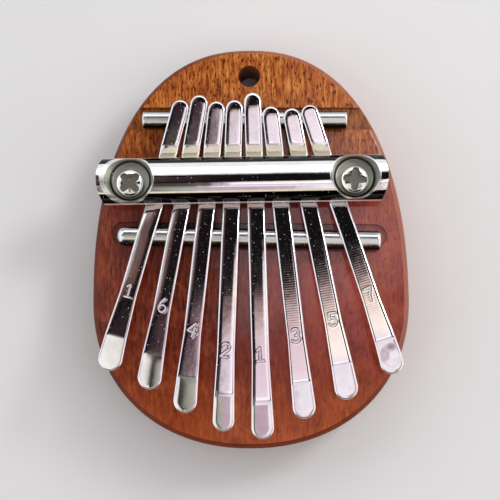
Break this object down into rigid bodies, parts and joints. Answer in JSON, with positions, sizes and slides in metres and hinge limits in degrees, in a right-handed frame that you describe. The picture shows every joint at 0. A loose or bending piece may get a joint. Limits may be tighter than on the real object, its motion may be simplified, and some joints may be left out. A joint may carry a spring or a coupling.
{
  "type": "kalimba",
  "caption": "Pocket kalimba: egg-shaped hardwood board with a key-ring hole and fanned steel tines, held over steel rods by a screwed half-round bar and plucked with the thumbs.",
  "frame": {"origin": "middle of the board's flat back face", "axes": "+Z out of the front face, +Y along the board towards the end with the key-ring hole, +X to the right as seen from the front with the hole at the top"},
  "size_m": [0.065, 0.083, 0.0184],
  "materials": {
    "wood": "clear gloss varnish",
    "rods": "bright plated",
    "bar": "bright plated",
    "screws": "bright zinc plated",
    "tines": "polished, with stamped numerals"
  },
  "bodies": {
    "instrument": {"soundboard": "wood", "backstop_rod": "rods", "bridge_rod": "rods", "pressure_bar": "bar", "screw_left": "screws", "screw_right": "screws", "tine_1_tail": "tines", "tine_2_tail": "tines", "tine_3_tail": "tines", "tine_4_tail": "tines", "tine_5_tail": "tines", "tine_6_tail": "tines", "tine_7_tail": "tines", "tine_8_tail": "tines"},
    "tine_1": {"tine_1_blade": "tines"},
    "tine_2": {"tine_2_blade": "tines"},
    "tine_3": {"tine_3_blade": "tines"},
    "tine_4": {"tine_4_blade": "tines"},
    "tine_5": {"tine_5_blade": "tines"},
    "tine_6": {"tine_6_blade": "tines"},
    "tine_7": {"tine_7_blade": "tines"},
    "tine_8": {"tine_8_blade": "tines"}
  },
  "joints": [
    {"name": "tine_1_flex", "type": "hinge", "parent": "instrument", "child": "tine_1", "pos_m": [-0.02108, 0.00183, 0.01445], "axis": [0.9646, -0.2639, 0], "range_deg": [-4, 4], "stiffness_Nm_per_rad": 4.5},
    {"name": "tine_2_flex", "type": "hinge", "parent": "instrument", "child": "tine_2", "pos_m": [-0.01493, 0.00161, 0.01445], "axis": [0.9842, -0.1771, 0], "range_deg": [-4, 4], "stiffness_Nm_per_rad": 4.1},
    {"name": "tine_3_flex", "type": "hinge", "parent": "instrument", "child": "tine_3", "pos_m": [-0.00936, 0.00142, 0.01445], "axis": [0.994, -0.1097, 0], "range_deg": [-4, 4], "stiffness_Nm_per_rad": 3.6},
    {"name": "tine_4_flex", "type": "hinge", "parent": "instrument", "child": "tine_4", "pos_m": [-0.00391, 0.00123, 0.01445], "axis": [0.999, -0.0436, 0], "range_deg": [-4, 4], "stiffness_Nm_per_rad": 3.3},
    {"name": "tine_5_flex", "type": "hinge", "parent": "instrument", "child": "tine_5", "pos_m": [0.0015, 0.00104, 0.01445], "axis": [0.9998, 0.0174, 0], "range_deg": [-4, 4], "stiffness_Nm_per_rad": 3.2},
    {"name": "tine_6_flex", "type": "hinge", "parent": "instrument", "child": "tine_6", "pos_m": [0.00713, 0.00084, 0.01445], "axis": [0.9956, 0.0941, 0], "range_deg": [-4, 4], "stiffness_Nm_per_rad": 3.5},
    {"name": "tine_7_flex", "type": "hinge", "parent": "instrument", "child": "tine_7", "pos_m": [0.01345, 0.00062, 0.01445], "axis": [0.9851, 0.1719, 0], "range_deg": [-4, 4], "stiffness_Nm_per_rad": 3.9},
    {"name": "tine_8_flex", "type": "hinge", "parent": "instrument", "child": "tine_8", "pos_m": [0.02046, 0.00038, 0.01445], "axis": [0.9588, 0.284, 0], "range_deg": [-4, 4], "stiffness_Nm_per_rad": 4.5}
  ]
}
